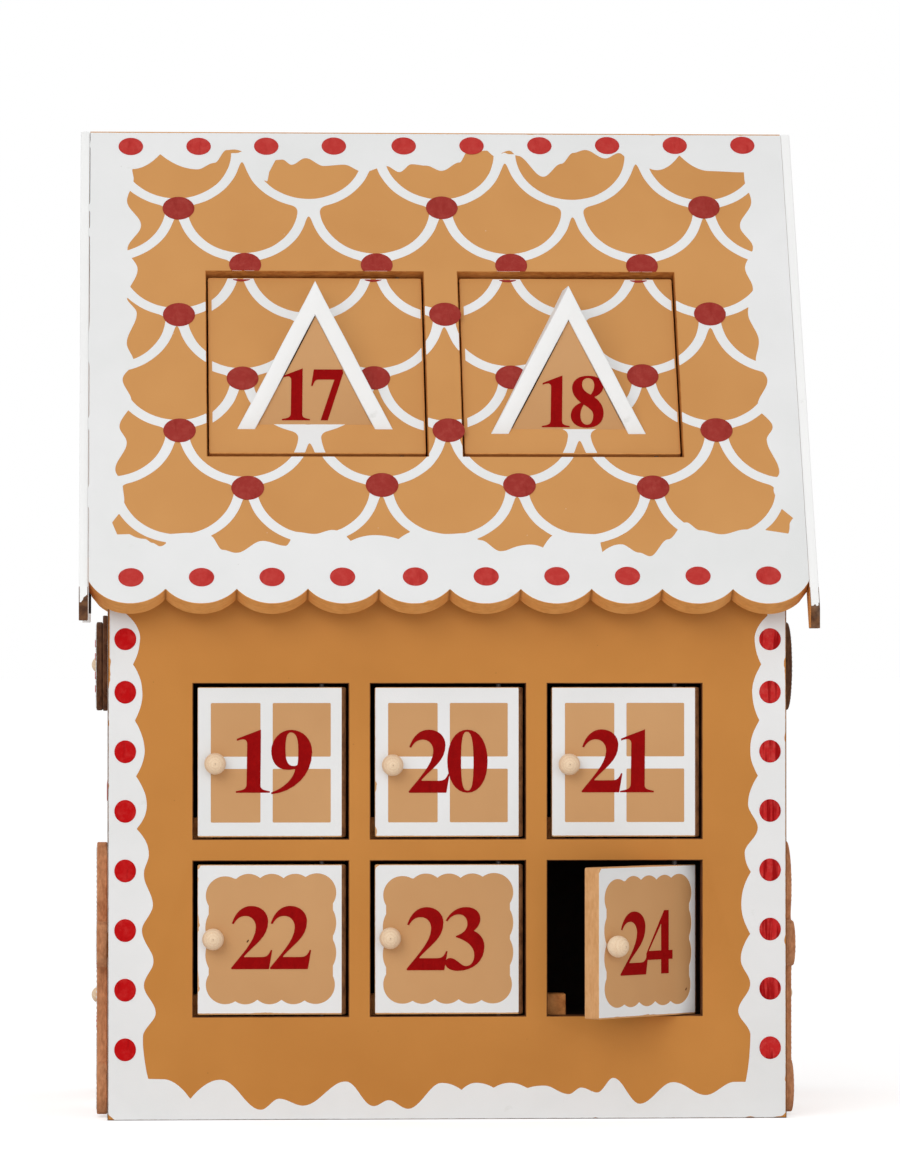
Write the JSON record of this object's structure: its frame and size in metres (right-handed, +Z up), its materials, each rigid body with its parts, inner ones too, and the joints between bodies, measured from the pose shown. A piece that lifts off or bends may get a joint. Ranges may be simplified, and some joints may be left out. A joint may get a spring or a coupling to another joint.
{
  "type": "advent calendar",
  "caption": "Gingerbread-house advent calendar of painted boards: small numbered hinged doors on four walls and a steep roof, each opened by a knob, dormer, cookie or figure.",
  "frame": {"origin": "On the table, under the middle of the house.", "axes": "+Z up, the front with doors 19 to 24 faces -Y, +X is to the right when looking at the front."},
  "size_m": [0.333, 0.2774, 0.4548],
  "materials": {
    "tan_paint": "matt gingerbread-brown paint on board",
    "pale_paint": "matt light tan paint on board",
    "white_paint": "matt white paint on board, worn at the edges",
    "raw_board": "bare brown board",
    "cookie_brown": "dark brown paint on board",
    "figure_brown": "reddish brown paint on board",
    "knob_wood": "bare pale turned wood",
    "hinge_steel": "plain drawn wire"
  },
  "bodies": {
    "house": {"front_wall": "tan_paint", "back_wall": "tan_paint", "left_wall": "tan_paint", "right_wall": "tan_paint", "base_board": "raw_board", "front_roof": "tan_paint", "back_roof": "tan_paint", "bargeboards": "white_paint", "shelves": "raw_board", "dividers": "raw_board", "stop_blocks": "raw_board", "hinge_rods": "hinge_steel"},
    "leaf_01": {"door_01": "tan_paint", "cookie_01": "cookie_brown"},
    "leaf_02": {"door_02": "tan_paint", "cookie_02": "cookie_brown"},
    "leaf_03": {"door_03": "tan_paint", "figure_03": "figure_brown"},
    "leaf_04": {"door_04": "tan_paint", "figure_04": "figure_brown"},
    "leaf_05": {"door_05": "tan_paint", "cookie_05": "cookie_brown"},
    "leaf_06": {"door_06": "tan_paint", "cookie_06": "cookie_brown"},
    "leaf_07": {"door_07": "tan_paint", "figure_07": "figure_brown"},
    "leaf_08": {"door_08": "tan_paint", "figure_08": "figure_brown"},
    "leaf_09": {"door_09": "tan_paint", "dormer_09": "pale_paint"},
    "leaf_10": {"door_10": "tan_paint", "dormer_10": "pale_paint"},
    "leaf_11": {"door_11": "pale_paint", "knob_11": "knob_wood"},
    "leaf_12": {"door_12": "pale_paint", "knob_12": "knob_wood"},
    "leaf_13": {"door_13": "pale_paint", "knob_13": "knob_wood"},
    "leaf_14": {"door_14": "pale_paint", "knob_14": "knob_wood"},
    "leaf_15": {"door_15": "pale_paint", "knob_15": "knob_wood"},
    "leaf_16": {"door_16": "pale_paint", "knob_16": "knob_wood"},
    "leaf_17": {"door_17": "tan_paint", "dormer_17": "pale_paint"},
    "leaf_18": {"door_18": "tan_paint", "dormer_18": "pale_paint"},
    "leaf_19": {"door_19": "pale_paint", "knob_19": "knob_wood"},
    "leaf_20": {"door_20": "pale_paint", "knob_20": "knob_wood"},
    "leaf_21": {"door_21": "pale_paint", "knob_21": "knob_wood"},
    "leaf_22": {"door_22": "pale_paint", "knob_22": "knob_wood"},
    "leaf_23": {"door_23": "pale_paint", "knob_23": "knob_wood"},
    "leaf_24": {"door_24": "pale_paint", "knob_24": "knob_wood"}
  },
  "joints": [
    {"name": "door_01_hinge", "type": "hinge", "parent": "house", "child": "leaf_01", "pos_m": [-0.1491, 0.0194, 0.205], "axis": [0, 0, 1], "range_deg": [0, 90]},
    {"name": "door_02_hinge", "type": "hinge", "parent": "house", "child": "leaf_02", "pos_m": [-0.1491, -0.0194, 0.205], "axis": [0, 0, -1], "range_deg": [0, 90]},
    {"name": "door_03_hinge", "type": "hinge", "parent": "house", "child": "leaf_03", "pos_m": [-0.1491, 0.0194, 0.068], "axis": [0, 0, 1], "range_deg": [0, 90]},
    {"name": "door_04_hinge", "type": "hinge", "parent": "house", "child": "leaf_04", "pos_m": [-0.1491, -0.0194, 0.068], "axis": [0, 0, -1], "range_deg": [0, 90]},
    {"name": "door_05_hinge", "type": "hinge", "parent": "house", "child": "leaf_05", "pos_m": [0.1491, -0.0194, 0.205], "axis": [0, 0, 1], "range_deg": [0, 90]},
    {"name": "door_06_hinge", "type": "hinge", "parent": "house", "child": "leaf_06", "pos_m": [0.1491, 0.0194, 0.205], "axis": [0, 0, -1], "range_deg": [0, 90]},
    {"name": "door_07_hinge", "type": "hinge", "parent": "house", "child": "leaf_07", "pos_m": [0.1491, -0.0194, 0.068], "axis": [0, 0, 1], "range_deg": [0, 90]},
    {"name": "door_08_hinge", "type": "hinge", "parent": "house", "child": "leaf_08", "pos_m": [0.1491, 0.0194, 0.068], "axis": [0, 0, -1], "range_deg": [0, 90]},
    {"name": "door_09_hinge", "type": "hinge", "parent": "house", "child": "leaf_09", "pos_m": [0.0198, 0.05924, 0.34039], "axis": [0, -0.5, 0.866], "range_deg": [0, 85]},
    {"name": "door_10_hinge", "type": "hinge", "parent": "house", "child": "leaf_10", "pos_m": [-0.0966, 0.05924, 0.34039], "axis": [0, -0.5, 0.866], "range_deg": [0, 85]},
    {"name": "door_11_hinge", "type": "hinge", "parent": "house", "child": "leaf_11", "pos_m": [0.057, 0.1036, 0.1615], "axis": [0, 0, 1], "range_deg": [0, 105]},
    {"name": "door_12_hinge", "type": "hinge", "parent": "house", "child": "leaf_12", "pos_m": [-0.023, 0.1036, 0.1615], "axis": [0, 0, 1], "range_deg": [0, 105]},
    {"name": "door_13_hinge", "type": "hinge", "parent": "house", "child": "leaf_13", "pos_m": [-0.103, 0.1036, 0.1615], "axis": [0, 0, 1], "range_deg": [0, 105]},
    {"name": "door_14_hinge", "type": "hinge", "parent": "house", "child": "leaf_14", "pos_m": [0.057, 0.1036, 0.0815], "axis": [0, 0, 1], "range_deg": [0, 105]},
    {"name": "door_15_hinge", "type": "hinge", "parent": "house", "child": "leaf_15", "pos_m": [-0.023, 0.1036, 0.0815], "axis": [0, 0, 1], "range_deg": [0, 105]},
    {"name": "door_16_hinge", "type": "hinge", "parent": "house", "child": "leaf_16", "pos_m": [-0.103, 0.1036, 0.0815], "axis": [0, 0, 1], "range_deg": [0, 105]},
    {"name": "door_17_hinge", "type": "hinge", "parent": "house", "child": "leaf_17", "pos_m": [-0.0198, -0.05924, 0.34039], "axis": [0, 0.5, 0.866], "range_deg": [0, 85]},
    {"name": "door_18_hinge", "type": "hinge", "parent": "house", "child": "leaf_18", "pos_m": [0.0966, -0.05924, 0.34039], "axis": [0, 0.5, 0.866], "range_deg": [0, 85]},
    {"name": "door_19_hinge", "type": "hinge", "parent": "house", "child": "leaf_19", "pos_m": [-0.057, -0.1036, 0.1615], "axis": [0, 0, 1], "range_deg": [0, 105]},
    {"name": "door_20_hinge", "type": "hinge", "parent": "house", "child": "leaf_20", "pos_m": [0.023, -0.1036, 0.1615], "axis": [0, 0, 1], "range_deg": [0, 105]},
    {"name": "door_21_hinge", "type": "hinge", "parent": "house", "child": "leaf_21", "pos_m": [0.103, -0.1036, 0.1615], "axis": [0, 0, 1], "range_deg": [0, 105]},
    {"name": "door_22_hinge", "type": "hinge", "parent": "house", "child": "leaf_22", "pos_m": [-0.057, -0.1036, 0.0815], "axis": [0, 0, 1], "range_deg": [0, 105]},
    {"name": "door_23_hinge", "type": "hinge", "parent": "house", "child": "leaf_23", "pos_m": [0.023, -0.1036, 0.0815], "axis": [0, 0, 1], "range_deg": [0, 105]},
    {"name": "door_24_hinge", "type": "hinge", "parent": "house", "child": "leaf_24", "pos_m": [0.103, -0.1036, 0.0815], "axis": [0, 0, 1], "range_deg": [-43.5, 61.5]}
  ]
}
